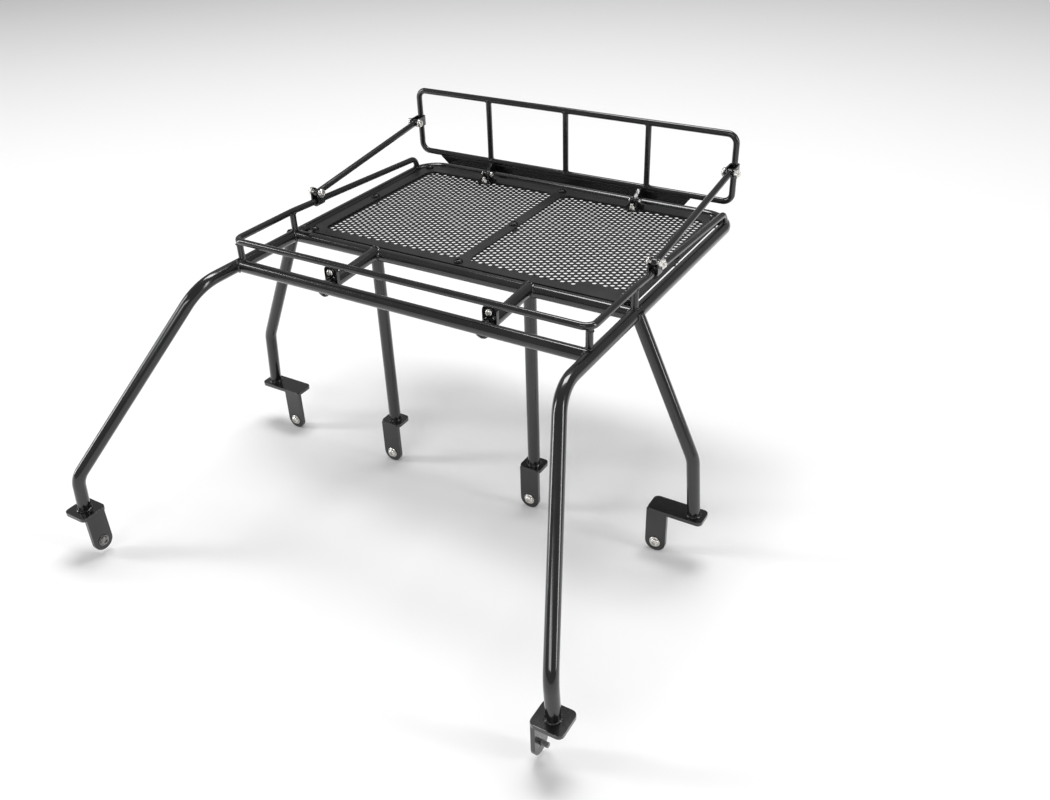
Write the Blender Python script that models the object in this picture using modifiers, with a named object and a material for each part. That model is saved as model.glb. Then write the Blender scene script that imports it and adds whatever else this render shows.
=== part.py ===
"""Welded tube roof rack for a 1:10 scale pickup: bed legs, roof frame, perforated floor, side rails and a
light hoop that folds back on two base hinges once its side struts are unclamped.

Frame: +X is the right of the truck, +Y is forward, +Z is up. The origin lies in the plane of the foot
plates' undersides, below the middle crossbar and halfway between the side tubes. Lengths are in millimetres
here, with heights counted from the crossbars' axes, where the empty "deck" stands. MM turns them into metres.
"""

import math

import bmesh
import bpy
from mathutils import Matrix, Vector

MM = 0.001

# Driving dimensions
TUBE_R = 1.9  # main tubes
ROD_R = 1.0  # light rods
BRACE_R = 1.9  # short tubes between the two rear crossbars
FIT = 0.1  # gap left at every welded or clamped joint
SIDE_X = 59.5  # side tubes, centre line
RAIL_X = 59.3  # side rails, struts and hoop sides share this plane
REAR_Y = -25.5  # rear crossbar
FRONT_Y = 73.8  # front crossbar
FRONT_BEND_R = 9.0
FRONT_JOIN_X = 45.0  # where the side tubes meet the straight front crossbar
FOOT_Z = -60.0  # lower end of every leg
FOOT_T = 1.2  # foot plates and their tabs
FOOT_HOLE_R = 0.85
RAIL_Z = 8.0  # side rail height at the rear
RAIL_FRONT_Z = 4.9
RAIL_FRONT_Y = 66.4
MOUNT_X = 27.0  # centre legs, braces and lamp tabs
BRACE_Z = (0.6, -1.0)  # at the middle and the rear crossbar
TAB_Y = (-21.4, -20.2)
TAB_SCREW_Z = 2.75
TAB_R = 2.3

# Floor panel
SHEET_Z = (0.2, 0.5)
RIM_Z = (0.6, 1.2)
PANEL_X = 57.1
PANEL_Y = (2.6, 71.2)
PANEL_CORNER_R = 5.0
WINDOW_X = (1.75, 53.2)
WINDOW_Y = (6.4, 66.4)
WINDOW_R = 3.0
SCREW_X = 55.2
SCREW_YS = (4.5, 36.5, 68.9)
SCREW_HOLE_R = 0.75

# Hoop and its base hinge
HOOP_Y = 71.5
HOOP_Z = (6.7, 28.3)
HOOP_BEND_R = 2.9
HOOP_ROD_XS = (-30.0, 0.0, 30.0)
BAFFLE_Z = (3.0, 5.6)
BAFFLE_XS = (-51.5, -48.4, 43.6, 45.6)  # top left, bottom left, bottom right, top right
HINGE_X = 28.5
HINGE_Y = 66.5
HINGE_Z = 3.8
KNUCKLE_R = 1.15
HINGE_EAR_R = 1.3
HINGE_EAR_X = (0.7, 1.4)  # inner and outer faces, from the middle of the hinge
HINGE_PIN_R = 0.55

# Strut pivots, as (y, z) in the plane x = RAIL_X
STRUT_LOW = (12.5, 10.0)
STRUT_HIGH = (67.9, 17.5)
EYE_R = 1.25
EYE_HALF = 0.7
PIN_R = 0.75
EAR_R = 1.4
EAR_GAP_HALF = 1.1
EAR_T = 0.5
DROPOUT_DEG = 27.0  # way out of the rail clevis slot, above straight back

BEND_STEPS = 6
SHARP = math.radians(40)
SIDES = (("left", -1), ("right", 1))
ACROSS = {  # turns a shape's own Z to the axis, and its XY plane to the plane of the other two
    "X": (math.pi / 2, 0, math.pi / 2),
    "Y": (math.pi / 2, 0, 0),
    "Z": (0, 0, 0),
}


# Scene: two collections, the empties that the pieces move with, and the paints


def clear_scene():
    for obj in list(bpy.data.objects):
        bpy.data.objects.remove(obj)


def new_collection(name):
    collection = bpy.data.collections.new(name)
    bpy.context.scene.collection.children.link(collection)
    return collection


def new_empty(name, place, parent=None):
    empty = bpy.data.objects.new(name, None)
    empty.empty_display_size = 8 * MM
    empty.parent = parent
    empty.location = Vector(place) * MM
    PARTS.objects.link(empty)
    return empty


def new_material(name, colour, roughness, metallic):
    material = bpy.data.materials.new(name)
    material.use_nodes = True
    material.diffuse_color = (*colour, 1.0)
    shader = material.node_tree.nodes["Principled BSDF"]
    shader.inputs["Base Color"].default_value = (*colour, 1.0)
    shader.inputs["Roughness"].default_value = roughness
    shader.inputs["Metallic"].default_value = metallic
    return material


clear_scene()
PARTS = new_collection("roof_rack")
CUTTERS = new_collection("cutters")
DECK = new_empty("deck", (0, 0, FOOT_T + FIT - FOOT_Z))
HOOP_HINGE = new_empty("hoop_hinge", (0, HINGE_Y, HINGE_Z), DECK)
STRUT_PIVOTS = {
    label: new_empty(
        f"strut_pivot_{label}",
        (RAIL_X * side, STRUT_HIGH[0] - HINGE_Y, STRUT_HIGH[1] - HINGE_Z),
        HOOP_HINGE,
    )
    for label, side in SIDES
}
FRAME_PAINT = new_material("frame_paint", (0.012, 0.012, 0.013), 0.22, 0.0)
PANEL_PAINT = new_material("panel_paint", (0.014, 0.014, 0.015), 0.4, 0.0)
BLACK_SCREWS = new_material("black_screws", (0.02, 0.02, 0.022), 0.35, 0.6)
BRIGHT_SCREWS = new_material("bright_screws", (0.62, 0.62, 0.63), 0.25, 1.0)


def put(obj, material, moves_with=DECK):
    """Files a finished piece, which was built in the deck's axes, with its paint and the empty it moves with."""
    PARTS.objects.link(obj)
    if not obj.data.materials:
        obj.data.materials.append(material)
    offset = Vector()
    empty = moves_with
    while empty is not DECK:
        offset += empty.location
        empty = empty.parent
    obj.parent = moves_with
    obj.matrix_parent_inverse = Matrix.Translation(-offset)
    return obj


def tool(obj, parent=DECK):
    """Files a shape that cuts or joins others and is no piece itself."""
    CUTTERS.objects.link(obj)
    obj.parent = parent
    obj.hide_render = True
    obj.display_type = "WIRE"
    return obj


# Shapes


def arc(before, corner, after, radius):
    back = (before - corner).normalized()
    ahead = (after - corner).normalized()
    half = back.angle(ahead) / 2
    centre = corner + (back + ahead).normalized() * radius / math.sin(half)
    start = corner + back * radius / math.tan(half) - centre
    axis = start.cross(corner + ahead * radius / math.tan(half) - centre).normalized()
    turn = math.pi - 2 * half
    return [
        centre + Matrix.Rotation(turn * step / BEND_STEPS, 3, axis) @ start
        for step in range(BEND_STEPS + 1)
    ]


def bent_line(corners, bends):
    """The line through the corners, each inner one turned into an arc of its bend radius."""
    points = [Vector(c) for c in corners]
    path = [points[0]]
    for before, corner, after, bend in zip(points, points[1:], points[2:], bends):
        path += arc(before, corner, after, bend)
    return path + [points[-1]]


def bent_loop(corners, bend):
    points = [Vector(c) for c in corners]
    path = []
    for index, corner in enumerate(points):
        path += arc(points[index - 1], corner, points[(index + 1) % len(points)], bend)
    return path


def bar(name, path, radius=TUBE_R, closed=False):
    """A round bar along the path, as a bevelled curve with capped ends."""
    curve = bpy.data.curves.new(name, "CURVE")
    curve.dimensions = "3D"
    curve.bevel_depth = radius * MM
    curve.bevel_resolution = 6 if radius > 1.5 else 4
    curve.use_fill_caps = True
    spline = curve.splines.new("POLY")
    spline.points.add(len(path) - 1)
    for point, place in zip(spline.points, path):
        point.co = (*(Vector(place) * MM), 1.0)
    spline.use_cyclic_u = closed
    return bpy.data.objects.new(name, curve)


def plate(name, axis, low, high, *outlines):
    """A flat piece between low and high along the axis, as a filled curve. Outlines after the first are holes."""
    curve = bpy.data.curves.new(name, "CURVE")
    curve.dimensions = "2D"
    curve.fill_mode = "BOTH"
    curve.extrude = (high - low) / 2 * MM
    for outline in outlines:
        spline = curve.splines.new("POLY")
        spline.points.add(len(outline) - 1)
        for point, (a, b) in zip(spline.points, outline):
            point.co = (a * MM, b * MM, 0.0, 1.0)
        spline.use_cyclic_u = True
    obj = bpy.data.objects.new(name, curve)
    obj.location["XYZ".index(axis)] = (low + high) / 2 * MM
    obj.rotation_euler = ACROSS[axis]
    return obj


def rod_across(name, centre, radius, low, high):
    """A cylinder along X from low to high, centred on (y, z)."""
    bm = bmesh.new()
    bmesh.ops.create_cone(
        bm, cap_ends=True, segments=24, radius1=radius * MM, radius2=radius * MM, depth=(high - low) * MM
    )
    obj = mesh_object(name, bm)
    obj.location = Vector(((low + high) / 2, *centre)) * MM
    obj.rotation_euler = ACROSS["X"]
    return obj


def button_screw(name, head_r, head_h, shank_r, length):
    """A button head screw turned about its own Z: the head stands on z = 0 and the shank goes down."""
    profile = [
        (0.0, head_h),
        (head_r * 0.55, head_h),
        (head_r * 0.86, head_h * 0.72),
        (head_r, head_h * 0.35),
        (head_r, 0.0),
        (shank_r, 0.0),
        (shank_r, -length),
        (0.0, -length),
    ]
    mesh = bpy.data.meshes.new(name)
    edges = [(index, index + 1) for index in range(len(profile) - 1)]
    mesh.from_pydata([(radius * MM, 0.0, height * MM) for radius, height in profile], edges, [])
    obj = bpy.data.objects.new(name, mesh)
    turn = obj.modifiers.new("turn", "SCREW")
    turn.axis = "Z"
    turn.steps = turn.render_steps = 20
    turn.use_merge_vertices = True
    turn.merge_threshold = 1e-6
    return obj


def mesh_object(name, bm):
    bmesh.ops.recalc_face_normals(bm, faces=bm.faces)
    mesh = bpy.data.meshes.new(name)
    bm.to_mesh(mesh)
    bm.free()
    mesh.shade_smooth()
    mesh.set_sharp_from_angle(angle=SHARP)
    return bpy.data.objects.new(name, mesh)


def as_mesh(obj):
    """The curve made into a mesh object with its caps welded, so that it can be cut and joined."""
    name = obj.name
    CUTTERS.objects.link(obj)
    graph = bpy.context.evaluated_depsgraph_get()
    mesh = bpy.data.meshes.new_from_object(obj.evaluated_get(graph))
    bm = bmesh.new()
    bm.from_mesh(mesh)
    bmesh.ops.remove_doubles(bm, verts=bm.verts, dist=1e-6)
    made = mesh_object(name, bm)
    made.matrix_world = obj.matrix_world
    bpy.data.objects.remove(obj)
    bpy.data.meshes.remove(mesh)
    made.name = name
    return made


def circle(centre, radius, sides=24, start=0.0, turn=2 * math.pi):
    """Points round a circle, or along an arc when turn is less than a full one."""
    steps = sides if turn >= 2 * math.pi else sides + 1
    return [
        (
            centre[0] + radius * math.cos(start + turn * index / sides),
            centre[1] + radius * math.sin(start + turn * index / sides),
        )
        for index in range(steps)
    ]


def rounded_rect(low, high, radius, sides=4):
    quarter = math.pi / 2
    centres = (
        (high[0] - radius, high[1] - radius),
        (low[0] + radius, high[1] - radius),
        (low[0] + radius, low[1] + radius),
        (high[0] - radius, low[1] + radius),
    )
    points = []
    for index, centre in enumerate(centres):
        points += circle(centre, radius, sides, quarter * index, quarter)
    return points


def combine(obj, operation, others):
    for other in others:
        modifier = obj.modifiers.new(operation.lower(), "BOOLEAN")
        modifier.operation = operation
        modifier.object = other
    return obj


def cut(obj, *others):
    return combine(obj, "DIFFERENCE", others)


def join(obj, *others):
    return combine(obj, "UNION", others)


# Centre lines, and the bars that others are coped against


def side_tube_line(side):
    corners = [
        (80.3, -84.0, FOOT_Z),
        (79.5, -83.6, -48.8),
        (SIDE_X, -41.8, 0),
        (SIDE_X, FRONT_Y, 0),
        (FRONT_JOIN_X, FRONT_Y, 0),
    ]
    return [Vector((x * side, y, z)) for x, y, z in corners], (8.0, 14.0, FRONT_BEND_R)


def crossbar_line(y):
    return [(-SIDE_X, y, 0), (SIDE_X, y, 0)]


def brace_line(side):
    return [(MOUNT_X * side, 0, BRACE_Z[0]), (MOUNT_X * side, REAR_Y, BRACE_Z[1])]


def rail_line():
    half = [
        (RAIL_X, RAIL_FRONT_Y, 0.4),
        (RAIL_X, RAIL_FRONT_Y, RAIL_FRONT_Z),
        (RAIL_X, 0, RAIL_Z),
        (RAIL_X, REAR_Y, RAIL_Z),
    ]
    return half + [(-x, y, z) for x, y, z in reversed(half)], (3.0, 20.0, 3.0, 3.0, 20.0, 3.0)


def rail_height(y):
    return RAIL_Z + (RAIL_FRONT_Z - RAIL_Z) * max(y, 0) / RAIL_FRONT_Y


def hoop_bar_line(z):
    return [(-RAIL_X, HOOP_Y, z), (RAIL_X, HOOP_Y, z)]


def cope(name, path, radius):
    """A cutter: the bar with the fit's gap all round."""
    return tool(as_mesh(bar(f"{name}_cope", path, radius + FIT)))


def below_feet():
    """Trims the legs level with the foot plates."""
    bm = bmesh.new()
    bmesh.ops.create_cube(bm, size=0.2)
    block = mesh_object("below_feet", bm)
    block.location.z = FOOT_Z * MM - 0.1
    return tool(block)


SIDE_COPES = {label: cope(f"side_{label}", bent_line(*side_tube_line(side)), TUBE_R) for label, side in SIDES}
BRACE_COPES = {label: cope(f"brace_{label}", brace_line(side), BRACE_R) for label, side in SIDES}
LEG_COPES = {
    label: cope(f"leg_{label}", [(MOUNT_X * side, 0, 0), (MOUNT_X * side, 0, FOOT_Z)], TUBE_R)
    for label, side in SIDES
}
BAR_COPES = {y: cope("crossbar", crossbar_line(y), TUBE_R) for y in (0, REAR_Y)}
HOOP_COPES = {z: cope("hoop", hoop_bar_line(z), ROD_R) for z in HOOP_Z}
RAIL_COPE = cope("rail", bent_line(*rail_line()), ROD_R)
BELOW_FEET = below_feet()


# Frame


def build_side_tube(label, side):
    corners, bends = side_tube_line(side)
    corners[0] += (corners[0] - corners[1]) * 0.2
    tube = as_mesh(bar(f"side_tube_{label}", bent_line(corners, bends)))
    put(cut(tube, BELOW_FEET), FRAME_PAINT)


def build_crossbars():
    reach = FRONT_JOIN_X - FIT
    put(bar("front_crossbar", [(-reach, FRONT_Y, 0), (reach, FRONT_Y, 0)]), FRAME_PAINT)
    for name, y in (("middle_crossbar", 0), ("rear_crossbar", REAR_Y)):
        tube = as_mesh(bar(name, crossbar_line(y)))
        put(cut(tube, *SIDE_COPES.values()), FRAME_PAINT)


def build_legs(label, side):
    corners = [(61.0 * side, 0, -0.2), (78.9 * side, 0, -41.0), (80.4 * side, 0, FOOT_Z - 2)]
    mid_leg = as_mesh(bar(f"mid_leg_{label}", bent_line(corners, (10.0,))))
    put(cut(mid_leg, SIDE_COPES[label], BELOW_FEET), FRAME_PAINT)
    x = MOUNT_X * side
    centre_leg = as_mesh(bar(f"centre_leg_{label}", [(x, 0, 0), (x, 0, FOOT_Z)]))
    put(cut(centre_leg, BAR_COPES[0]), FRAME_PAINT)


def build_brace(label, side):
    """The brace with the lamp tab that stands astride it."""
    brace = as_mesh(bar(f"brace_{label}", brace_line(side), BRACE_R))
    put(cut(brace, *BAR_COPES.values(), LEG_COPES[label]), FRAME_PAINT)
    x = MOUNT_X * side
    outline = circle((x, TAB_SCREW_Z), TAB_R, 16, 0, math.pi) + [(x - TAB_R, -0.8), (x + TAB_R, -0.8)]
    hole = circle((x, TAB_SCREW_Z), 0.7, 16)
    tab = as_mesh(plate(f"lamp_tab_{label}", "Y", *TAB_Y, outline, hole))
    put(cut(tab, BRACE_COPES[label]), FRAME_PAINT)
    screw = button_screw(f"lamp_tab_screw_{label}", 1.0, 0.7, 0.6, 2.2)
    screw.location = Vector((x, TAB_Y[0] - FIT, TAB_SCREW_Z)) * MM
    screw.rotation_euler.x = math.pi / 2
    put(screw, BRIGHT_SCREWS)


def build_rail():
    rail = as_mesh(bar("upper_rail", bent_line(*rail_line()), ROD_R))
    put(cut(rail, *SIDE_COPES.values()), FRAME_PAINT)


def build_posts(label, side):
    for stem, y, inset in (("middle_post", 0, 0.0), ("rear_post", REAR_Y, 0.9)):
        x = (RAIL_X - inset) * side
        post = as_mesh(bar(f"{stem}_{label}", [(x, y + inset, 0), (x, y + inset, RAIL_Z)], ROD_R))
        put(cut(post, SIDE_COPES[label], BAR_COPES[y], RAIL_COPE), FRAME_PAINT)


# Feet: a plate under the leg with a tab that hangs from it


def build_foot(name, footprint, axis, low, high, tab_centre):
    """The tab hangs across the axis between low and high, with its round end and hole at tab_centre."""
    base = FOOT_Z - FIT
    foot = as_mesh(plate(name, "Z", base - FOOT_T, base, footprint))
    across, height = tab_centre
    outline = circle((across, height), 3.2, 12, math.pi, math.pi)
    outline += [(across + 3.2, FOOT_Z - 0.4), (across - 3.2, FOOT_Z - 0.4)]
    tab = tool(as_mesh(plate(f"{name}_tab", axis, low, high, outline, circle(tab_centre, FOOT_HOLE_R))))
    put(join(foot, tab), FRAME_PAINT)


def build_feet(label, side):
    def footprint(low, high):
        xs = sorted((low[0] * side, high[0] * side))
        return rounded_rect((xs[0], low[1]), (xs[1], high[1]), 1.5)

    inner, outer = sorted((75.8 * side, (75.8 + FOOT_T) * side))
    build_foot(f"rear_foot_{label}", footprint((75.8, -88.2), (84.6, -79.8)), "X", inner, outer, (-84.0, -70.6))
    for stem, leg_x, tab_x in (("mid_foot", 80.3, 70.2), ("centre_foot", MOUNT_X, MOUNT_X)):
        plan = footprint((min(leg_x - 3.6, tab_x - 3.2), -3.4), (leg_x + 3.6, 3.4))
        build_foot(f"{stem}_{label}", plan, "Y", -3.4, -3.4 + FOOT_T, (tab_x * side, -72.0))


# Floor panel


def panel_outline(inset=0.0):
    low = (-PANEL_X + inset, PANEL_Y[0] + inset)
    high = (PANEL_X - inset, PANEL_Y[1] - inset)
    return rounded_rect(low, high, PANEL_CORNER_R, 6)


def screw_holes():
    bm = bmesh.new()
    radius = SCREW_HOLE_R * MM
    for x in (-SCREW_X, 0, SCREW_X):
        for y in SCREW_YS:
            place = Matrix.Translation(Vector((x, y, 0)) * MM)
            bmesh.ops.create_cone(
                bm, cap_ends=True, segments=12, radius1=radius, radius2=radius, depth=6 * MM, matrix=place
            )
    return tool(mesh_object("screw_holes", bm))


def build_floor():
    holes = screw_holes()
    sheet = as_mesh(plate("floor_sheet", "Z", *SHEET_Z, panel_outline(0.4)))
    put(cut(sheet, holes), PANEL_PAINT)
    rim = as_mesh(plate("floor_rim", "Z", *RIM_Z, panel_outline()))
    low, high = WINDOW_X
    for label, (near, far) in (("left", (-high, -low)), ("right", (low, high))):
        window = rounded_rect((near, WINDOW_Y[0]), (far, WINDOW_Y[1]), WINDOW_R)
        cut(rim, tool(as_mesh(plate(f"window_{label}", "Z", 0, 2, window))))
    put(cut(rim, holes), PANEL_PAINT)
    for label, side in SIDES:
        for row, y in zip(("rear", "middle", "front"), SCREW_YS):
            screw = button_screw(f"floor_screw_{row}_{label}", 1.4, 0.8, 0.65, 2.2)
            screw.location = Vector((SCREW_X * side, y, RIM_Z[1] + FIT)) * MM
            put(screw, BLACK_SCREWS)


# Hoop and its base hinges


def build_hoop():
    low, high = HOOP_Z
    corners = [(x, HOOP_Y, z) for x, z in ((RAIL_X, high), (-RAIL_X, high), (-RAIL_X, low), (RAIL_X, low))]
    put(bar("hoop_loop", bent_loop(corners, HOOP_BEND_R), ROD_R, closed=True), FRAME_PAINT, HOOP_HINGE)
    for label, x in zip(("left", "centre", "right"), HOOP_ROD_XS):
        rod = as_mesh(bar(f"hoop_rod_{label}", [(x, HOOP_Y, low), (x, HOOP_Y, high)], ROD_R))
        put(cut(rod, *HOOP_COPES.values()), FRAME_PAINT, HOOP_HINGE)
    base, top = BAFFLE_Z
    top_left, low_left, low_right, top_right = BAFFLE_XS
    outline = [(low_left, base), (low_right, base), (top_right, top), (top_left, top)]
    baffle = as_mesh(plate("hoop_baffle", "Y", HOOP_Y - 0.2, HOOP_Y + 0.7, outline))
    put(cut(baffle, HOOP_COPES[low]), FRAME_PAINT, HOOP_HINGE)


def build_hinge(label, side):
    """A blade on the hoop, with a knuckle round the hinge screw, between two ears on the rim."""
    x = HINGE_X * side
    centre = (HINGE_Y, HINGE_Z)
    inner, outer = HINGE_EAR_X
    bore = circle(centre, HINGE_PIN_R + FIT, 16)
    blade = circle(centre, KNUCKLE_R, 16, math.pi / 2, math.pi)
    blade += [(HOOP_Y - 0.3, BAFFLE_Z[0]), (HOOP_Y - 0.3, HOOP_Z[0]), (HINGE_Y + 2.6, HOOP_Z[0])]
    lug = as_mesh(plate(f"hinge_lug_{label}", "X", x - inner + FIT, x + inner - FIT, blade, bore))
    put(cut(lug, HOOP_COPES[HOOP_Z[0]]), FRAME_PAINT, HOOP_HINGE)

    foot = rounded_rect((x - 2.7, 62.7), (x + 2.7, 69.0), 1.4)
    clevis = as_mesh(plate(f"base_clevis_{label}", "Z", RIM_Z[1] + FIT, RIM_Z[1] + 0.7, foot))
    ear = circle(centre, HINGE_EAR_R, 16, 0, math.pi)
    ear += [(HINGE_Y - 1.7, RIM_Z[1] + 0.4), (HINGE_Y + 1.7, RIM_Z[1] + 0.4)]
    for near, far in ((x - outer, x - inner), (x + inner, x + outer)):
        join(clevis, tool(as_mesh(plate(f"hinge_ear_{label}", "X", near, far, ear, bore))))
    put(clevis, FRAME_PAINT)

    screw = button_screw(f"hinge_screw_{label}", 0.95, 0.7, HINGE_PIN_R, 2 * outer + 0.9)
    screw.location = Vector((x - (outer + FIT) * side, *centre)) * MM
    screw.rotation_euler.y = -math.pi / 2 * side
    put(screw, BRIGHT_SCREWS)


# Struts and their clevises


def build_strut(label, side):
    """A rod between two eyes."""
    x = RAIL_X * side
    low, high = Vector((x, *STRUT_LOW)), Vector((x, *STRUT_HIGH))
    inset = (high - low).normalized() * 0.9
    strut = as_mesh(bar(f"strut_{label}", [low + inset, high - inset], ROD_R))
    for end in (STRUT_LOW, STRUT_HIGH):
        join(strut, tool(rod_across(f"eye_{label}", end, EYE_R, x - EYE_HALF, x + EYE_HALF)))
    for end in (STRUT_LOW, STRUT_HIGH):
        cut(strut, tool(rod_across(f"eye_bore_{label}", end, PIN_R + FIT, x - 2, x + 2)))
    put(strut, FRAME_PAINT, STRUT_PIVOTS[label])


def saddle_profile(rise):
    """A U across the rod: round under the rod, then straight up to the ears' top."""
    outer = EAR_GAP_HALF + EAR_T
    outside = circle((0, 0), outer, 12, math.pi, math.pi)
    inside = circle((0, 0), EAR_GAP_HALF, 12, 0, -math.pi)
    return outside + [(outer, rise), (EAR_GAP_HALF, rise)] + inside + [(-EAR_GAP_HALF, rise), (-outer, rise)]


def saddle_clevis(name, rise, slot):
    """A clevis in its own axes: the rod runs along Y through its origin, and the pin is at z = rise."""
    clevis = as_mesh(plate(name, "Y", -2.4, 2.4, saddle_profile(rise + 1.6)))
    clevis.data.transform(clevis.matrix_basis)
    clevis.matrix_basis = Matrix()
    ears = circle((0, rise), EAR_R, 16, 0, math.pi)
    ears += [(-1.6, 0.2), (-1.6, -2.3), (1.6, -2.3), (1.6, 0.2)]
    combine(clevis, "INTERSECT", [tool(as_mesh(plate(f"{name}_side", "X", -3, 3, ears)), clevis)])
    cut(clevis, tool(rod_across(f"{name}_bore", (0, rise), PIN_R + FIT, -3, 3), clevis))
    if slot:
        cut(clevis, tool(as_mesh(plate(f"{name}_slot", "X", -3, 3, dropout(rise))), clevis))
    return clevis


def dropout(rise):
    """The way out of the bore, as wide as the bore, back and up."""
    angle = math.radians(DROPOUT_DEG)
    back = Vector((-math.cos(angle), math.sin(angle)))
    across = Vector((-back.y, back.x)) * (PIN_R + FIT)
    start = Vector((0, rise))
    end = start + back * 4
    return [tuple(p) for p in (start + across, end + across * 1.15, end - across * 1.15, start - across)]


def build_clevises(label, side):
    y, z = STRUT_LOW
    rail_clevis = saddle_clevis(f"rail_clevis_{label}", z - rail_height(y), slot=True)
    rail_clevis.location = Vector((RAIL_X * side, y, rail_height(y))) * MM
    put(rail_clevis, FRAME_PAINT)
    y, z = STRUT_HIGH
    hoop_clevis = saddle_clevis(f"hoop_clevis_{label}", HOOP_Y - y, slot=False)
    hoop_clevis.location = Vector((RAIL_X * side, HOOP_Y, z)) * MM
    hoop_clevis.rotation_euler.x = math.pi / 2
    put(hoop_clevis, FRAME_PAINT, HOOP_HINGE)


def build_strut_screws(label, side):
    """A button head screw from the inner side and a hexagon nut on the outer side of each clevis."""
    face = EAR_GAP_HALF + EAR_T + FIT
    for level, pivot, holder in (("low", STRUT_LOW, STRUT_PIVOTS[label]), ("high", STRUT_HIGH, HOOP_HINGE)):
        screw = button_screw(f"strut_screw_{level}_{label}", 1.45, 0.9, PIN_R, face + 3.7)
        screw.location = Vector(((RAIL_X - face) * side, *pivot)) * MM
        screw.rotation_euler.y = -math.pi / 2 * side
        put(screw, BRIGHT_SCREWS, holder)
        near, far = sorted(((RAIL_X + face) * side, (RAIL_X + face + 1.1) * side))
        outline, bore = circle(pivot, 1.5, 6), circle(pivot, PIN_R + FIT)
        put(plate(f"strut_nut_{level}_{label}", "X", near, far, outline, bore), BRIGHT_SCREWS, holder)


def main():
    build_crossbars()
    build_rail()
    build_floor()
    build_hoop()
    for label, side in SIDES:
        build_side_tube(label, side)
        build_legs(label, side)
        build_brace(label, side)
        build_posts(label, side)
        build_feet(label, side)
        build_hinge(label, side)
        build_strut(label, side)
        build_clevises(label, side)
        build_strut_screws(label, side)


main()
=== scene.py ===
import math
import random

import bmesh
import bpy
from mathutils import Matrix, Vector


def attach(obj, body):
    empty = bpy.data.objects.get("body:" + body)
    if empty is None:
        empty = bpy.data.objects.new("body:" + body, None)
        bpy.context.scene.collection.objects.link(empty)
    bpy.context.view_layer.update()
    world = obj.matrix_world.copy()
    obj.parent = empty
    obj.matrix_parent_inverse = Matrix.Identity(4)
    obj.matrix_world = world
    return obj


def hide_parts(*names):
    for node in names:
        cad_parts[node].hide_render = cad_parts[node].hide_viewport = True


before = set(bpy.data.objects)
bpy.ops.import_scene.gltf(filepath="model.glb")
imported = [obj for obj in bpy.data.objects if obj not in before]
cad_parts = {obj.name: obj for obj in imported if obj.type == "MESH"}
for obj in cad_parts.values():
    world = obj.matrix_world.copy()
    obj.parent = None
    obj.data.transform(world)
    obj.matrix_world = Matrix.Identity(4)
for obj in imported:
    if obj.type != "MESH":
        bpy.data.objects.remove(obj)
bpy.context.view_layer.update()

MM = 0.001
SEAT = 61.3  # height of the crossbars' axes over the foot plates' undersides, in mm
SIDES = (("left", -1), ("right", 1))
X_AXIS, Y_AXIS, Z_AXIS = Vector((1, 0, 0)), Vector((0, 1, 0)), Vector((0, 0, 1))
UP, DOWN, FORWARD, BACK = (0, 0, 1), (0, 0, -1), (0, 1, 0), (0, -1, 0)

# Sizes that repeat the CAD model's, in mm, heights counted from the crossbars' axes

TUBE_R, ROD_R, BRACE_R = 1.9, 1.0, 1.9
SIDE_X, RAIL_X, MOUNT_X = 59.5, 59.3, 27.0
REAR_Y, FRONT_Y, FRONT_JOIN_X = -25.5, 73.8, 45.0
CROSSBAR_REACH = SIDE_X - 0.6
FOOT_Z = -60.0
SIDE_CORNERS = (
    (80.3, -84.0, FOOT_Z),
    (79.5, -83.6, -48.8),
    (SIDE_X, -41.8, 0),
    (SIDE_X, FRONT_Y, 0),
    (FRONT_JOIN_X - 0.4, FRONT_Y, 0),
)
SIDE_BENDS = (8.0, 14.0, 9.0)
MID_LEG_CORNERS, MID_LEG_BENDS = ((60.2, 0, 0.4), (78.9, 0, -41.0), (80.4, 0, FOOT_Z)), (10.0,)
RAIL_Z, RAIL_FRONT_Z, RAIL_FRONT_Y = 8.0, 4.9, 66.4
RAIL_BENDS = (3.0, 20.0, 3.0, 3.0, 20.0, 3.0)
REAR_POST_INSET = 0.9
BRACE_Z = (0.6, -1.0)
TAB_FACE_Y, TAB_BACK_Y, TAB_SCREW_Z = -21.4, -20.2, 2.75
PANEL_X, PANEL_Y, PANEL_CORNER_R = 56.7, (3.0, 70.8), 4.6
WINDOW_X, WINDOW_Y = (1.75, 53.2), (6.4, 66.4)
SHEET_Z, RIM_TOP = (0.2, 0.5), 1.2
FLOOR_SCREW_X = 55.2
FLOOR_SCREW_YS = (("rear", 4.5), ("middle", 36.5), ("front", 68.9))
HOOP_Y, HOOP_Z, HOOP_BEND_R = 71.5, (6.7, 28.3), 2.9
HOOP_ROD_XS = (("left", -30.0), ("centre", 0.0), ("right", 30.0))
HOOP_ROD_R = ROD_R * 0.97
HINGE = (28.5, 66.5, 3.8)
HINGE_FACE = 1.4  # its ears' outer faces, from the middle of the hinge
HINGE_PIN_R = 0.55
BRACKET_TOP = 1.9
STRUT_LOW, STRUT_HIGH = (12.5, 10.0), (67.9, 17.5)
EYE_R, EYE_HALF, EYE_CHAMFER, PIN_R = 1.25, 0.7, 0.12, 0.75
EAR_FACE = 1.6  # clevis ears' outer faces, from the rail's axis
FLOOR_Z = -13.95  # the tabs' lowest points, from the foot plates' undersides

# The perforations, in mm

HOLE_R, HOLE_PITCH, HOLE_SIDES = 0.73, 2.0, 12
FIRST_ROW = 0.4  # from the panel's rear edge to the first row of holes
WINDOW_SPILL = 0.2  # how far the middles of the outer holes may lie outside a window
PATCH_X, PATCH_Y = (38.0, 51.0), (6.0, 11.4)  # the sheet has no holes here

# Screws as (head radius, head height, shank radius, shank length) and nuts as (half the width across
# flats, height, bore radius), in mm

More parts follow.
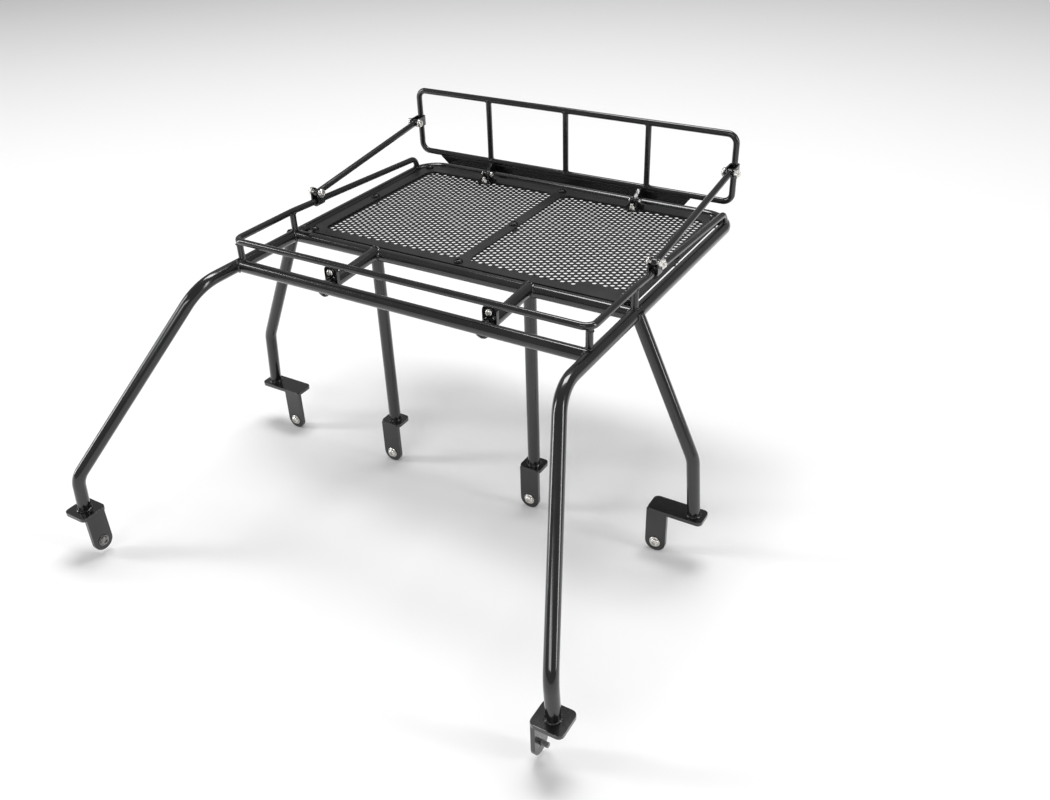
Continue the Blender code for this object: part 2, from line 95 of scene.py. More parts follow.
PLAY = 0.05  # from the face of a clevis or tab to the screw's head or nut
FLOOR_PLAY = 0.02
FLOOR_SCREW, FLOOR_NUT = (1.4, 0.85, 0.65, 2.9), (1.2, 0.8, PIN_R)
STRUT_SCREW, STRUT_NUT = (1.45, 0.95, PIN_R, 2 * EAR_FACE + 1.75), (1.3, 1.15, PIN_R)
LAMP_SCREW, LAMP_NUT = (1.0, 0.7, 0.6, 2.4), (0.95, 0.7, 0.6)
HINGE_SCREW, HINGE_NUT = (0.95, 0.65, HINGE_PIN_R, 3.5), (0.85, 0.5, HINGE_PIN_R)
BRACKET_NUT, BRACKET_BOLT = (0.85, 0.75, 0.5), ((0.5, -2.6), (0.5, 1.35), (0.42, 1.5))
BRACKET_BOLT_BACK = 2.45  # how far the upright bolt stands behind the hinge's pin
FOOT_SCREW, FOOT_WASHER = (1.35, 0.8, 0.75, 3.4), (1.7, 0.24)
REAR_TAB_HOLE = (75.55, -84.0, -70.6)
FRONT_TAB_Y, FRONT_TAB_Z = -3.65, -72.0
FRONT_TAB_XS = (("mid", 70.2), ("centre", MOUNT_X))
WASHER_SHIFT = 0.23  # washers start this far under the head's seat
THREAD_PITCH, THREAD_DEPTH, THREAD_STEP = 0.35, 0.1, 0.07

# Weld beads, in mm

BEAD_R, ROD_BEAD_R, HOOP_BEAD_R = 0.36, 0.24, 0.22
BEAD_LIFT = 0.02  # from the tube's surface to the bead's middle
RIPPLE_LENGTH, FEWEST_RIPPLES, PHASE_SPAN = 0.42, 6, 6.28
FOOT_BEAD_SPOTS = ((80.28, -83.98), (80.4, 0.0), (MOUNT_X, 0.0))


def at(x, y, z):
    return Vector((x, y, z + SEAT)) * MM


def mirrored(corners, side):
    return [(x * side, y, z) for x, y, z in corners]


# Meshes


def finish_mesh(name, bm, material, body, replaces=(), sharp=35.0):
    bmesh.ops.recalc_face_normals(bm, faces=bm.faces)
    mesh = bpy.data.meshes.new(name)
    bm.to_mesh(mesh)
    bm.free()
    mesh.polygons.foreach_set("use_smooth", [True] * len(mesh.polygons))
    mesh.set_sharp_from_angle(angle=math.radians(sharp))
    mesh.materials.append(material)
    obj = bpy.data.objects.new(name, mesh)
    bpy.context.scene.collection.objects.link(obj)
    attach(obj, body)
    if replaces:
        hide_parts(*replaces)
    return obj


def arc(before, corner, after, radius, steps=14):
    back = (before - corner).normalized()
    ahead = (after - corner).normalized()
    half = back.angle(ahead) / 2
    centre = corner + (back + ahead).normalized() * radius / math.sin(half)
    start = corner + back * radius / math.tan(half) - centre
    axis = start.cross(corner + ahead * radius / math.tan(half) - centre).normalized()
    turn = math.pi - 2 * half
    return [centre + Matrix.Rotation(turn * step / steps, 3, axis) @ start for step in range(steps + 1)]


def bent(corners, radii):
    """The line through the corners, in mm, with an arc at each inner corner."""
    points = [Vector(c) for c in corners]
    path = [points[0]]
    for before, corner, after, bend in zip(points, points[1:], points[2:], radii):
        path += arc(before, corner, after, bend)
    return path + [points[-1]]


def sweep_into(bm, path, radius, sides, closed=False, ripple=None):
    """Adds a round bar along the path, in mm. ripple(index) scales the radius there."""
    count = len(path)
    rings = []
    normal = None
    for index, point in enumerate(path):
        after = path[(index + 1) % count] if closed or index + 1 < count else point
        before = path[index - 1] if closed or index > 0 else point
        tangent = ((point - before).normalized() + (after - point).normalized()).normalized()
        if normal is None:
            normal = tangent.orthogonal().normalized()
        normal = (normal - tangent * normal.dot(tangent)).normalized()
        across = tangent.cross(normal)
        size = radius * (ripple(index) if ripple else 1.0)
        ring = []
        for side in range(sides):
            angle = 2 * math.pi * side / sides
            offset = (normal * math.cos(angle) + across * math.sin(angle)) * size
            ring.append(bm.verts.new(at(*(point + offset))))
        rings.append(ring)
    skin_rings(bm, rings)
    if not closed:
        bm.faces.new(rings[0])
        bm.faces.new(rings[-1])
        return
    first, last = rings[0], rings[-1]
    shift = min(range(sides), key=lambda s: (last[0].co - first[s].co).length)
    for side in range(sides):
        nxt = (side + 1) % sides
        bm.faces.new((last[side], last[nxt], first[(nxt + shift) % sides], first[(side + shift) % sides]))


def skin_rings(bm, rings):
    """Faces between each ring of vertices and the next."""
    for low, high in zip(rings, rings[1:]):
        for side in range(len(low)):
            nxt = (side + 1) % len(low)
            bm.faces.new((low[side], low[nxt], high[nxt], high[side]))


def tube(name, corners, radius, radii=(), body="rack", closed=False):
    """A tube or rod that stands for the CAD node of the same name. Its ends run on into its neighbours."""
    bm = bmesh.new()
    path = corners if closed else bent(corners, radii)
    sweep_into(bm, path, radius, 40 if radius > 1.5 else 28, closed)
    return finish_mesh(f"{name}_tube", bm, PAINT, body, [name])


def turned_into(bm, matrix, rings, sides=48):
    """Adds a closed body turned about its own Z axis, in mm. Each ring is (radius of the angle, height)."""
    made = []
    for radius_of, height in rings:
        ring = []
        for side in range(sides):
            angle = 2 * math.pi * side / sides
            radius = radius_of(angle)
            point = Vector((radius * math.cos(angle), radius * math.sin(angle), height))
            ring.append(bm.verts.new(at(*(matrix @ point))))
        made.append(ring)
    skin_rings(bm, made)
    bm.faces.new(made[0])
    bm.faces.new(made[-1])


def round_of(radius):
    return lambda angle: radius


def hexagon_of(flat, limit=1e9):
    """Radius of a hexagon with that distance from centre to flat, no larger than limit."""

    def radius(angle):
        turn = angle % (math.pi / 3) - math.pi / 6
        return min(flat / math.cos(turn), limit)

    return radius


def facing(direction, place):
    """The turn and move that put a body's own +Z along direction, at place."""
    turn = Vector(direction).to_track_quat("Z", "Y").to_matrix().to_4x4()
    return Matrix.Translation(Vector(place)) @ turn


def screw_into(bm, matrix, head_r, head_h, shank_r, shank_length):
    """A button head screw with a hexagon socket. The head rises along +Z from z = 0, and the shank goes down."""
    rings = [(round_of(shank_r * 0.7), -shank_length)]
    steps = max(int(shank_length / THREAD_STEP), 2)
    for step in range(steps + 1):
        height = -shank_length + 0.1 + (shank_length - 0.1) * step / steps

        def thread(angle, height=height):
            phase = (height / THREAD_PITCH - angle / (2 * math.pi)) % 1.0
            return shank_r - THREAD_DEPTH * abs(2 * phase - 1)

        rings.append((thread, height))
    rings += [
        (round_of(head_r * 0.96), 0.0),
        (round_of(head_r), head_h * 0.06),
        (round_of(head_r), head_h * 0.3),
        (round_of(head_r * 0.96), head_h * 0.5),
        (round_of(head_r * 0.87), head_h * 0.7),
        (round_of(head_r * 0.74), head_h * 0.87),
        (round_of(head_r * 0.6), head_h * 0.97),
        (round_of(head_r * 0.54), head_h),
        (hexagon_of(head_r * 0.44), head_h * 0.98),
        (hexagon_of(head_r * 0.41), head_h * 0.9),
        (hexagon_of(head_r * 0.41), head_h * 0.35),
        (hexagon_of(head_r * 0.1), head_h * 0.22),
    ]
    turned_into(bm, matrix, rings)


def nut_into(bm, matrix, flat, height, bore):
    """A hexagon nut with chamfered corners and a low collar, rising along +Z from z = 0."""
    corner = flat / math.cos(math.pi / 6)
    rings = [
        (hexagon_of(flat, corner * 0.93), 0.0),
        (hexagon_of(flat, corner * 0.985), height * 0.12),
        (hexagon_of(flat), height * 0.22),
        (hexagon_of(flat), height * 0.66),
        (hexagon_of(flat, corner * 0.985), height * 0.76),
        (hexagon_of(flat, corner * 0.93), height * 0.84),
        (round_of(flat * 0.86), height * 0.87),
        (round_of(flat * 0.82), height * 0.99),
        (round_of(flat * 0.74), height),
        (round_of(bore * 1.02), height * 0.94),
    ]
    turned_into(bm, matrix, rings)


def washer_into(bm, matrix, radius, thickness, chamfer_r=0.08, chamfer_h=0.07):
    rings = [
        (round_of(radius - chamfer_r), 0.0),
        (round_of(radius), chamfer_h),
        (round_of(radius), thickness - chamfer_h),
        (round_of(radius - chamfer_r), thickness),
    ]
    turned_into(bm, matrix, rings)


# Materials


def new_material(name):
    material = bpy.data.materials.new(name)
    material.use_nodes = True
    tree = material.node_tree
    return material, tree, tree.nodes["Principled BSDF"]


def noise(tree, coords, scale, detail=3.0, roughness=0.55):
    node = tree.nodes.new("ShaderNodeTexNoise")
    node.inputs["Scale"].default_value = scale
    node.inputs["Detail"].default_value = detail
    node.inputs["Roughness"].default_value = roughness
    tree.links.new(coords, node.inputs["Vector"])
    return node.outputs["Fac"]


def remap(tree, value, low, high, to_low, to_high):
    node = tree.nodes.new("ShaderNodeMapRange")
    node.inputs["From Min"].default_value = low
    node.inputs["From Max"].default_value = high
    node.inputs["To Min"].default_value = to_low
    node.inputs["To Max"].default_value = to_high
    tree.links.new(value, node.inputs["Value"])
    return node.outputs["Result"]


def mix_colour(tree, share, first, second):
    node = tree.nodes.new("ShaderNodeMix")
    node.data_type = "RGBA"
    tree.links.new(share, node.inputs[0])
    for socket, colour in ((node.inputs[6], first), (node.inputs[7], second)):
        if isinstance(colour, tuple):
            socket.default_value = (*colour, 1.0)
        else:
            tree.links.new(colour, socket)
    return node.outputs[2]


def arithmetic(tree, operation, first, second):
    node = tree.nodes.new("ShaderNodeMath")
    node.operation = operation
    node.use_clamp = True
    for socket, value in ((node.inputs[0], first), (node.inputs[1], second)):
        if isinstance(value, float):
            socket.default_value = value
        else:
            tree.links.new(value, socket)
    return node.outputs[0]


def bump(tree, height, distance):
    node = tree.nodes.new("ShaderNodeBump")
    node.inputs["Distance"].default_value = distance
    node.inputs["Strength"].default_value = 1.0
    tree.links.new(height, node.inputs["Height"])
    return node.outputs["Normal"]


def painted(name, colour, worn, rough, peel, coat):
    """Black paint on steel: orange peel, fine dust, dulled patches and small nicks through to the primer."""
    material, tree, shader = new_material(name)
    coords = tree.nodes.new("ShaderNodeTexCoord").outputs["Object"]
    clouds = noise(tree, coords, 90.0, 4.0)
    grain = noise(tree, coords, 2600.0, 2.0)
    specks = noise(tree, coords, 2400.0, 1.0, 0.4)
    nicks = remap(tree, specks, 0.775, 0.8, 0.0, 1.0)
    dust = remap(tree, clouds, 0.42, 0.72, 0.0, 0.5)
    dusty = tuple(c * 1.9 + 0.004 for c in colour)
    base = mix_colour(tree, dust, colour, dusty)
    tree.links.new(mix_colour(tree, nicks, base, worn), shader.inputs["Base Color"])
    low, high = rough
    gloss = remap(tree, clouds, 0.3, 0.72, low, high)
    scuffed = arithmetic(tree, "MULTIPLY", nicks, 0.4)
    tree.links.new(arithmetic(tree, "ADD", gloss, scuffed), shader.inputs["Roughness"])
    tree.links.new(bump(tree, grain, peel * MM), shader.inputs["Normal"])
    shader.inputs["Specular IOR Level"].default_value = 0.5
    shader.inputs["Coat Weight"].default_value = coat
    shader.inputs["Coat Roughness"].default_value = 0.1
    return material


def plated(name, colour, rough, scratch):
    """Plated or oiled steel: turned marks, small scratches and dull spots."""
    material, tree, shader = new_material(name)
    coords = tree.nodes.new("ShaderNodeTexCoord").outputs["Object"]
    spots = noise(tree, coords, 900.0, 3.0)
    marks = noise(tree, coords, 5200.0, 2.0)
    darker = tuple(c * 0.72 for c in colour)
    share = remap(tree, spots, 0.35, 0.7, 0.0, 1.0)
    tree.links.new(mix_colour(tree, share, colour, darker), shader.inputs["Base Color"])
    shader.inputs["Metallic"].default_value = 1.0
    tree.links.new(remap(tree, spots, 0.3, 0.7, *rough), shader.inputs["Roughness"])
    tree.links.new(bump(tree, marks, scratch * MM), shader.inputs["Normal"])
    return material


def plain_floor(name, colour):
    material, tree, shader = new_material(name)
    coords = tree.nodes.new("ShaderNodeTexCoord").outputs["Object"]
    share = remap(tree, noise(tree, coords, 3.0, 2.0), 0.3, 0.7, 0.0, 1.0)
    shade = tuple(c * 0.985 for c in colour)
    tree.links.new(mix_colour(tree, share, colour, shade), shader.inputs["Base Color"])
    shader.inputs["Roughness"].default_value = 0.7
    return material


# Paint: name, colour, colour of the nicks, roughness from and to, orange peel in mm, weight of the clear coat
PAINT = painted("gloss_black_paint", (0.006, 0.006, 0.0068), (0.05, 0.049, 0.047), (0.14, 0.22), 0.0025, 0.5)
SATIN = painted("satin_black_paint", (0.0085, 0.0085, 0.0092), (0.045, 0.045, 0.043), (0.32, 0.44), 0.005, 0.0)
# Metal: name, colour, roughness from and to, depth of the scratches in mm
BRIGHT = plated("bright_zinc", (0.92, 0.9, 0.86), (0.2, 0.36), 0.0015)
DULL = plated("dull_steel", (0.3, 0.295, 0.285), (0.32, 0.5), 0.003)
OXIDE = plated("black_oxide", (0.05, 0.05, 0.052), (0.26, 0.42), 0.002)


# Frame tubes


def rail_corners():
    half = [
        (RAIL_X, RAIL_FRONT_Y, 0.0),
        (RAIL_X, RAIL_FRONT_Y, RAIL_FRONT_Z),
        (RAIL_X, 0, RAIL_Z),
        (RAIL_X, REAR_Y, RAIL_Z),
    ]
    return half + mirrored(reversed(half), -1)


def make_tubes():
    for label, side in SIDES:
        tube(f"side_tube_{label}", mirrored(SIDE_CORNERS, side), TUBE_R, SIDE_BENDS)
        tube(f"mid_leg_{label}", mirrored(MID_LEG_CORNERS, side), TUBE_R, MID_LEG_BENDS)
        x = MOUNT_X * side
        tube(f"centre_leg_{label}", [(x, 0, 0), (x, 0, FOOT_Z)], TUBE_R)
        tube(f"brace_{label}", [(x, 0, BRACE_Z[0]), (x, REAR_Y, BRACE_Z[1])], BRACE_R)
        for name, y, inset in (("middle_post", 0, 0.0), ("rear_post", REAR_Y, REAR_POST_INSET)):
            post_x = (RAIL_X - inset) * side
            tube(f"{name}_{label}", [(post_x, y + inset, 0), (post_x, y + inset, RAIL_Z)], ROD_R)
    tube("middle_crossbar", [(-CROSSBAR_REACH, 0, 0), (CROSSBAR_REACH, 0, 0)], TUBE_R)
    tube("rear_crossbar", [(-CROSSBAR_REACH, REAR_Y, 0), (CROSSBAR_REACH, REAR_Y, 0)], TUBE_R)
    tube("front_crossbar", [(-FRONT_JOIN_X, FRONT_Y, 0), (FRONT_JOIN_X, FRONT_Y, 0)], TUBE_R)
    tube("upper_rail", rail_corners(), ROD_R, RAIL_BENDS)


def make_hoop():
    low, high = HOOP_Z
    around = ((RAIL_X, high), (-RAIL_X, high), (-RAIL_X, low), (RAIL_X, low))
    corners = [Vector((x, HOOP_Y, z)) for x, z in around]
    path = []
    for index, corner in enumerate(corners):
        path += arc(corners[index - 1], corner, corners[(index + 1) % len(corners)], HOOP_BEND_R)
    tube("hoop_loop", path, ROD_R, body="hoop", closed=True)
    for label, x in HOOP_ROD_XS:
        tube(f"hoop_rod_{label}", [(x, HOOP_Y, low), (x, HOOP_Y, high)], HOOP_ROD_R, body="hoop")


def make_struts():
    """Each strut is a rod with an eye at both ends."""
    for label, side in SIDES:
        bm = bmesh.new()
        low, high = (Vector((RAIL_X * side, *p)) for p in (STRUT_LOW, STRUT_HIGH))
        sweep_into(bm, [low, high], ROD_R, 28)
        for end in (low, high):
            rings = [
                (round_of(EYE_R - EYE_CHAMFER), -EYE_HALF),
                (round_of(EYE_R), -EYE_HALF + EYE_CHAMFER),
                (round_of(EYE_R), EYE_HALF - EYE_CHAMFER),
                (round_of(EYE_R - EYE_CHAMFER), EYE_HALF),
            ]
            turned_into(bm, facing((1, 0, 0), end), rings)
        finish_mesh(f"strut_{label}_rod", bm, PAINT, f"strut_{label}", [f"strut_{label}"])


# Weld beads


def meeting_curve(start, along, radius, main_point, main_along, main_radius, steps=72):
    """Where a tube's surface meets a main tube's. The rays run along the tube's sides towards the main one."""
    along, main_along = along.normalized(), main_along.normalized()
    first = along.orthogonal().normalized()
    second = along.cross(first)
    flat = along - main_along * along.dot(main_along)
    points = []
    for step in range(steps):
        angle = 2 * math.pi * step / steps
        origin = start + (first * math.cos(angle) + second * math.sin(angle)) * radius
        offset = origin - main_point
        offset -= main_along * offset.dot(main_along)
        a, b = flat.dot(flat), 2 * flat.dot(offset)
        c = offset.dot(offset) - main_radius**2
        root = math.sqrt(max(b * b - 4 * a * c, 0.0))
        points.append(origin + along * ((-b - root) / (2 * a)))
    return points


def bead_into(bm, points, radius, seed):
    """A closed weld bead with the ripples that the puddle leaves."""
    rng = random.Random(seed)
    count = len(points)
    length = sum((points[i] - points[i - 1]).length for i in range(count))
    waves = max(int(length / RIPPLE_LENGTH), FEWEST_RIPPLES)
    phase, drift = rng.random() * PHASE_SPAN, rng.random() * PHASE_SPAN

    def ripple(index):
        turn = 2 * math.pi * index / count
        return 1 + 0.13 * math.sin(waves * turn + phase) + 0.1 * math.sin(2 * turn + drift)

    sweep_into(bm, points, radius, 10, closed=True, ripple=ripple)


def rack_joints():
    """Each joint as (start, along, radius, main point, main along, main radius)."""
    joints = []
    lifted = TUBE_R + BEAD_LIFT
    middle_bar, rear_bar = Vector((0, 0, 0)), Vector((0, REAR_Y, 0))
    for _, side in SIDES:
        side_tube = Vector((SIDE_X * side, 0, 0))
        for y in (0, REAR_Y):
            crossbar = Vector(((SIDE_X - 9) * side, y, 0))
            joints.append((crossbar, X_AXIS * side, TUBE_R, side_tube, Y_AXIS, lifted))
        leg = [Vector(c) for c in mirrored(MID_LEG_CORNERS, side)]
        centre_leg = Vector((MOUNT_X * side, 0, -12))
        front, rear = Vector((MOUNT_X * side, 0, BRACE_Z[0])), Vector((MOUNT_X * side, REAR_Y, BRACE_Z[1]))
        brace = front.lerp(rear, 0.5)
        post = Vector((RAIL_X * side, 0, 5))
        post_top = Vector((RAIL_X * side, 0, RAIL_Z))
        rear_post = Vector(((RAIL_X - REAR_POST_INSET) * side, REAR_Y + REAR_POST_INSET, 5))
        rear_post_top = Vector((RAIL_X * side, REAR_Y, RAIL_Z))
        rail_end = Vector((RAIL_X * side, RAIL_FRONT_Y, 3.5))
        joints += [
            (leg[0].lerp(leg[1], 0.3), leg[0] - leg[1], TUBE_R, side_tube, Y_AXIS, lifted),
            (centre_leg, Z_AXIS, TUBE_R, middle_bar, X_AXIS, lifted),
            (brace, front - rear, BRACE_R, middle_bar, X_AXIS, TUBE_R),
            (brace, rear - front, BRACE_R, rear_bar, X_AXIS, TUBE_R),
            (post, -Z_AXIS, ROD_R, side_tube, Y_AXIS, TUBE_R),
            (post, Z_AXIS, ROD_R, post_top, Y_AXIS, ROD_R + BEAD_LIFT),
            (rear_post, -Z_AXIS, ROD_R, rear_bar, X_AXIS, TUBE_R),
            (rear_post, Z_AXIS, ROD_R, rear_post_top, Y_AXIS, ROD_R + 0.4),
            (rail_end, -Z_AXIS, ROD_R, side_tube, Y_AXIS, TUBE_R),
        ]
    return joints


def ring_points(centre, radius, steps=48):
    return [
        Vector(centre) + Vector((math.cos(a), math.sin(a), 0)) * radius
        for a in (2 * math.pi * i / steps for i in range(steps))
    ]


def make_welds():
    bm = bmesh.new()
    for seed, joint in enumerate(rack_joints()):
        size = BEAD_R if joint[2] > 1.5 else ROD_BEAD_R
        bead_into(bm, meeting_curve(*joint), size, seed)
    for seed, (_, side) in enumerate(SIDES):
        for number, (x, y) in enumerate(FOOT_BEAD_SPOTS):
            ring = ring_points((x * side, y, FOOT_Z + BEAD_LIFT), TUBE_R + 0.1)
            bead_into(bm, ring, BEAD_R, 40 + 3 * seed + number)
    finish_mesh("frame_welds", bm, PAINT, "rack")
    bm = bmesh.new()
    for seed, (_, x) in enumerate(HOOP_ROD_XS):
        for way, z in ((-1, HOOP_Z[0]), (1, HOOP_Z[1])):
            start = Vector((x, HOOP_Y, 17))
            curve = meeting_curve(start, Z_AXIS * way, HOOP_ROD_R, Vector((0, HOOP_Y, z)), X_AXIS, ROD_R)
            bead_into(bm, curve, HOOP_BEAD_R, 60 + 2 * seed + way)
    finish_mesh("hoop_welds", bm, PAINT, "hoop")


# Perforated floor


def holed_cell(outer, inner_points, bm, vertex_of):
    corners = [vertex_of(p) for p in outer]
    inner = [bm.verts.new((x, y, 0)) for x, y in inner_points]
    count = len(corners)
    for index in range(count):
        nxt = (index + 1) % count
        bm.faces.new((corners[index], corners[nxt], inner[nxt], inner[index]))


def has_hole(x, y):
    spill = WINDOW_SPILL
    in_window = WINDOW_X[0] - spill < abs(x) < WINDOW_X[1] + spill and WINDOW_Y[0] - spill < y < WINDOW_Y[1] + spill
    in_patch = PATCH_X[0] < x < PATCH_X[1] and PATCH_Y[0] < y < PATCH_Y[1]
    return in_window and not in_patch


def make_sheet():
    """A flat sheet of hexagonal cells, each with a round hole inside the rim's windows, then given its thickness."""
    bm = bmesh.new()
    shared = {}

    def vertex_of(point):
        key = (round(point[0], 3), round(point[1], 3))
        if key not in shared:
            shared[key] = bm.verts.new((key[0], key[1], 0))
        return shared[key]

    step_x = HOLE_PITCH * math.sin(math.radians(60))
    corner_r = HOLE_PITCH / 2 / math.cos(math.radians(30))
    columns = int((PANEL_X + 3) / step_x) + 1
    row_count = int((PANEL_Y[1] - PANEL_Y[0]) / HOLE_PITCH) + 3
    angles = [math.radians(30 * index) for index in range(HOLE_SIDES)]
    for column in range(-columns, columns + 1):
        x = column * step_x
        shift = HOLE_PITCH / 2 if column % 2 else 0.0
        for row in range(-1, row_count):
            y = PANEL_Y[0] + FIRST_ROW + shift + row * HOLE_PITCH
            outer = []
            for index, angle in enumerate(angles):
                reach = corner_r if index % 2 == 0 else HOLE_PITCH / 2
                outer.append((x + reach * math.cos(angle), y + reach * math.sin(angle)))
            if has_hole(x, y):
                inner = [(x + HOLE_R * math.cos(angle), y + HOLE_R * math.sin(angle)) for angle in angles]
                holed_cell(outer, inner, bm, vertex_of)
            else:
                bm.faces.new([vertex_of(p) for p in outer])
    trim_to_panel(bm)
    made = bmesh.ops.extrude_face_region(bm, geom=list(bm.faces))
    top = [g for g in made["geom"] if isinstance(g, bmesh.types.BMVert)]
    bmesh.ops.translate(bm, verts=top, vec=(0, 0, SHEET_Z[1] - SHEET_Z[0]))
    lift = Matrix.Translation((0, 0, SEAT + SHEET_Z[0]))
    bmesh.ops.transform(bm, matrix=Matrix.Scale(MM, 4) @ lift, verts=bm.verts)
    finish_mesh("perforated_sheet", bm, SATIN, "rack", ["floor_sheet"], sharp=50.0)


def trim_to_panel(bm):
    planes = [((0, PANEL_Y[0], 0), (0, -1, 0)), ((0, PANEL_Y[1], 0), (0, 1, 0))]
    planes += [((side * PANEL_X, 0, 0), (side, 0, 0)) for _, side in SIDES]
    for _, side in SIDES:
        for end, y in ((-1, PANEL_Y[0] + PANEL_CORNER_R), (1, PANEL_Y[1] - PANEL_CORNER_R)):
            centre = Vector((side * (PANEL_X - PANEL_CORNER_R), y, 0))
            for degrees in (15, 30, 45, 60, 75):
                turn = math.radians(degrees)
                away = Vector((side * math.cos(turn), end * math.sin(turn), 0))
                planes.append((centre + away * PANEL_CORNER_R, away))
    for point, away in planes:
        geometry = bm.verts[:] + bm.edges[:] + bm.faces[:]
        bmesh.ops.bisect_plane(bm, geom=geometry, dist=1e-5, plane_co=point, plane_no=away, clear_outer=True)


# Screws and nuts


def fastener(name, parts, material, replaces=(), body="rack"):
    """One mesh from parts, each given as (function, direction, place, its sizes)."""
    bm = bmesh.new()
    for add, direction, place, sizes in parts:
        add(bm, facing(direction, place), *sizes)
    finish_mesh(name, bm, material, body, replaces)


def bolt_into(bm, matrix, *rings):
    """A plain upright bolt, each ring given as (radius, height)."""
    turned_into(bm, matrix, [(round_of(radius), height) for radius, height in rings])


def make_floor_screws():
    for row, y in FLOOR_SCREW_YS:
        for column, x in (("left", -FLOOR_SCREW_X), ("centre", 0.0), ("right", FLOOR_SCREW_X)):
            name = f"{row}_{column}"
            screw = (screw_into, UP, (x, y, RIM_TOP + FLOOR_PLAY), FLOOR_SCREW)
            replaced = [f"floor_screw_{name}"] if column != "centre" else []
            fastener(f"floor_screw_{name}_head", [screw], OXIDE, replaced)
            nut = (nut_into, DOWN, (x, y, SHEET_Z[0] - FLOOR_PLAY), FLOOR_NUT)
            fastener(f"floor_nut_{name}", [nut], OXIDE)


def make_strut_screws(label, side):
    inward, outward = (-side, 0, 0), (side, 0, 0)
    for level, pivot, body in (("low", STRUT_LOW, f"strut_{label}"), ("high", STRUT_HIGH, "hoop")):
        key = f"{level}_{label}"
        inner = ((RAIL_X - EAR_FACE - PLAY) * side, *pivot)
        outer = ((RAIL_X + EAR_FACE + PLAY) * side, *pivot)
        screw, nut = (screw_into, inward, inner, STRUT_SCREW), (nut_into, outward, outer, STRUT_NUT)
        fastener(f"strut_bolt_{key}", [screw], BRIGHT, [f"strut_screw_{key}"], body)
        fastener(f"strut_hex_{key}", [nut], BRIGHT, [f"strut_nut_{key}"], body)


def make_lamp_screw(label, side):
    parts = [
        (screw_into, BACK, (MOUNT_X * side, TAB_FACE_Y - PLAY, TAB_SCREW_Z), LAMP_SCREW),
        (nut_into, FORWARD, (MOUNT_X * side, TAB_BACK_Y + FLOOR_PLAY, TAB_SCREW_Z), LAMP_NUT),
    ]
    fastener(f"lamp_screw_{label}", parts, BRIGHT, [f"lamp_tab_screw_{label}"])


def make_hinge_screws(label, side):
    x, y, z = HINGE
    parts = [
        (screw_into, (-side, 0, 0), ((x - HINGE_FACE - PLAY) * side, y, z), HINGE_SCREW),
        (nut_into, (side, 0, 0), ((x + HINGE_FACE + PLAY) * side, y, z), HINGE_NUT),
    ]
    fastener(f"hinge_pin_{label}", parts, BRIGHT, [f"hinge_screw_{label}"])
    foot = (x * side, y - BRACKET_BOLT_BACK, BRACKET_TOP + FLOOR_PLAY)
    parts = [(nut_into, UP, foot, BRACKET_NUT), (bolt_into, UP, foot, BRACKET_BOLT)]
    fastener(f"hinge_foot_bolt_{label}", parts, BRIGHT)


def make_foot_screws(label, side):
    x, y, z = REAR_TAB_HOLE
    inward = (-side, 0, 0)
    parts = [
        (screw_into, inward, (x * side, y, z), FOOT_SCREW),
        (washer_into, inward, ((x + WASHER_SHIFT) * side, y, z), FOOT_WASHER),
    ]
    fastener(f"rear_foot_screw_{label}", parts, DULL)
    for name, foot_x in FRONT_TAB_XS:
        parts = [
            (screw_into, BACK, (foot_x * side, FRONT_TAB_Y, FRONT_TAB_Z), FOOT_SCREW),
            (washer_into, BACK, (foot_x * side, FRONT_TAB_Y + WASHER_SHIFT, FRONT_TAB_Z), FOOT_WASHER),
        ]
        fastener(f"{name}_foot_screw_{label}", parts, BRIGHT)


def make_screws():
    make_floor_screws()
    for label, side in SIDES:
        make_strut_screws(label, side)
        make_lamp_screw(label, side)
        make_hinge_screws(label, side)
        make_foot_screws(label, side)


# CAD pieces that stay, with softened edges


def soften(names, material, width):
    for name in names:
        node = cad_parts[name]
        node.data.materials.clear()
        node.data.materials.append(material)
        node.data.polygons.foreach_set("use_smooth", [True] * len(node.data.polygons))
        weld = node.modifiers.new("weld", "WELD")
        weld.merge_threshold = 2e-6
        bevel = node.modifiers.new("edges", "BEVEL")
        bevel.width = width * MM
        bevel.segments = 3
        bevel.limit_method = "ANGLE"
        bevel.angle_limit = math.radians(40)
        bevel.harden_normals = True
        normals = node.modifiers.new("normals", "WEIGHTED_NORMAL")
        normals.keep_sharp = True


def on_both_sides(*stems):
    return [f"{stem}_{label}" for stem in stems for label, _ in SIDES]


def make_kept():
    plates = on_both_sides("rear_foot", "mid_foot", "centre_foot", "lamp_tab")
    soften(plates + ["hoop_baffle"], PAINT, 0.14)
    soften(on_both_sides("base_clevis", "rail_clevis", "hoop_clevis", "hinge_lug"), PAINT, 0.1)
    soften(["floor_rim"], SATIN, 0.12)


# Stage, light and camera, in metres

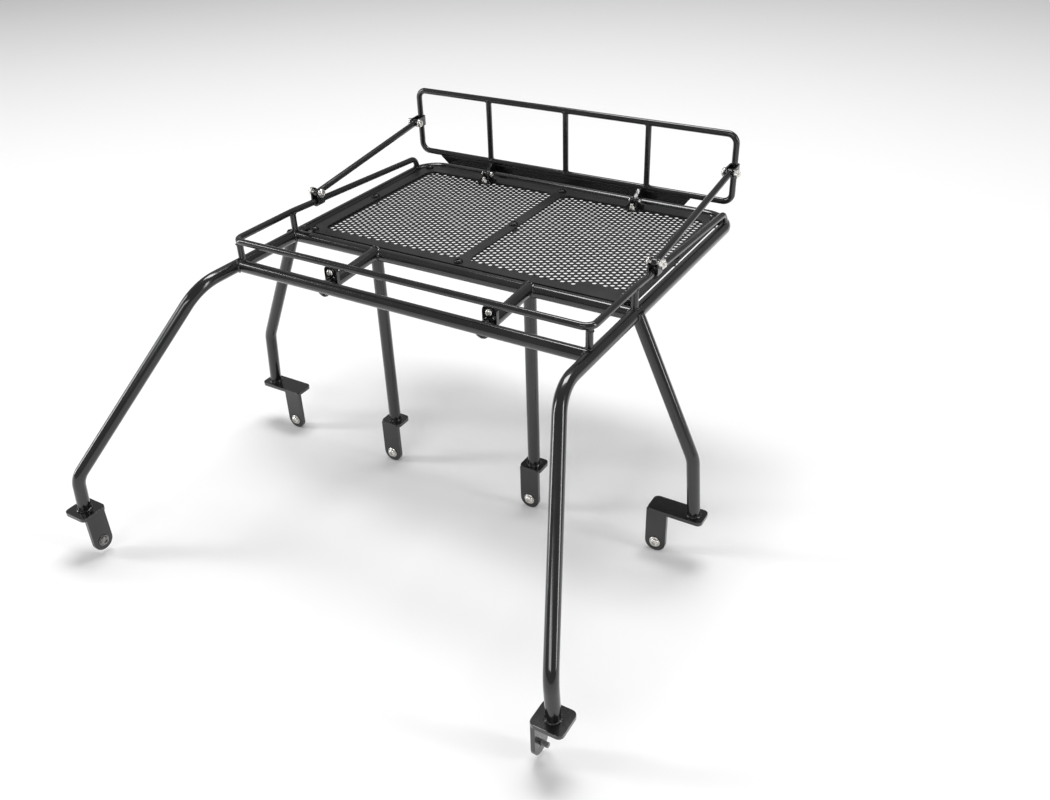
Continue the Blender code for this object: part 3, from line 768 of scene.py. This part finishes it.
LIGHT_TARGET = Vector((0, 0, 0.05))
LIGHTS = (  # name, place, size, power in W
    ("top_box", (-0.1, 0.3, 0.9), (0.6, 0.28), 6.0),
    ("left_box", (-0.9, -0.45, 0.4), (0.15, 0.8), 4.5),
    ("right_box", (0.8, 0.1, 0.35), (0.12, 0.6), 2.0),
    ("rear_box", (0.1, -1.0, 0.7), (0.8, 0.14), 2.2),
)
WORLD_STRENGTH = 0.32
FLOOR_COLOUR = (0.92, 0.92, 0.92)
SENSOR_WIDTH, LENS = 36.0, 34.12  # both in mm
CAMERA_PLACE = (0.1562, -0.2177, 0.1239 + SEAT * MM)
CAMERA_AHEAD, CAMERA_UP = (-0.4375, 0.7223, -0.5355), (-0.2516, 0.4735, 0.8441)


def area_light(name, place, size, power):
    data = bpy.data.lights.new(name, "AREA")
    data.shape = "RECTANGLE"
    data.size, data.size_y = size
    data.energy = power
    light = bpy.data.objects.new(name, data)
    light.location = place
    light.rotation_mode = "QUATERNION"
    light.rotation_quaternion = (Vector(place) - LIGHT_TARGET).to_track_quat("Z", "Y")
    bpy.context.scene.collection.objects.link(light)


def make_stage():
    bm = bmesh.new()
    bmesh.ops.create_grid(bm, x_segments=8, y_segments=8, size=6.0)
    mesh = bpy.data.meshes.new("floor")
    bm.to_mesh(mesh)
    bm.free()
    mesh.materials.append(plain_floor("pale_floor", FLOOR_COLOUR))
    floor = bpy.data.objects.new("floor", mesh)
    floor.location.z = FLOOR_Z * MM
    bpy.context.scene.collection.objects.link(floor)
    world = bpy.data.worlds.new("studio")
    world.use_nodes = True
    background = world.node_tree.nodes["Background"]
    background.inputs["Color"].default_value = (1.0, 1.0, 1.0, 1.0)
    background.inputs["Strength"].default_value = WORLD_STRENGTH
    bpy.context.scene.world = world
    bpy.context.scene.view_settings.view_transform = "Standard"
    for light in LIGHTS:
        area_light(*light)


def make_camera():
    data = bpy.data.cameras.new("camera")
    data.sensor_width = SENSOR_WIDTH
    data.lens = LENS
    data.clip_start, data.clip_end = 0.01, 50.0
    camera = bpy.data.objects.new("camera", data)
    ahead = Vector(CAMERA_AHEAD).normalized()
    right = ahead.cross(Vector(CAMERA_UP).normalized()).normalized()
    up = right.cross(ahead).normalized()
    turn = Matrix((right, up, -ahead)).transposed().to_4x4()
    camera.matrix_world = Matrix.Translation(CAMERA_PLACE) @ turn
    bpy.context.scene.collection.objects.link(camera)
    bpy.context.scene.camera = camera


make_tubes()
make_hoop()
make_struts()
make_welds()
make_sheet()
make_screws()
make_kept()
make_stage()
make_camera()

bpy.context.view_layer.update()
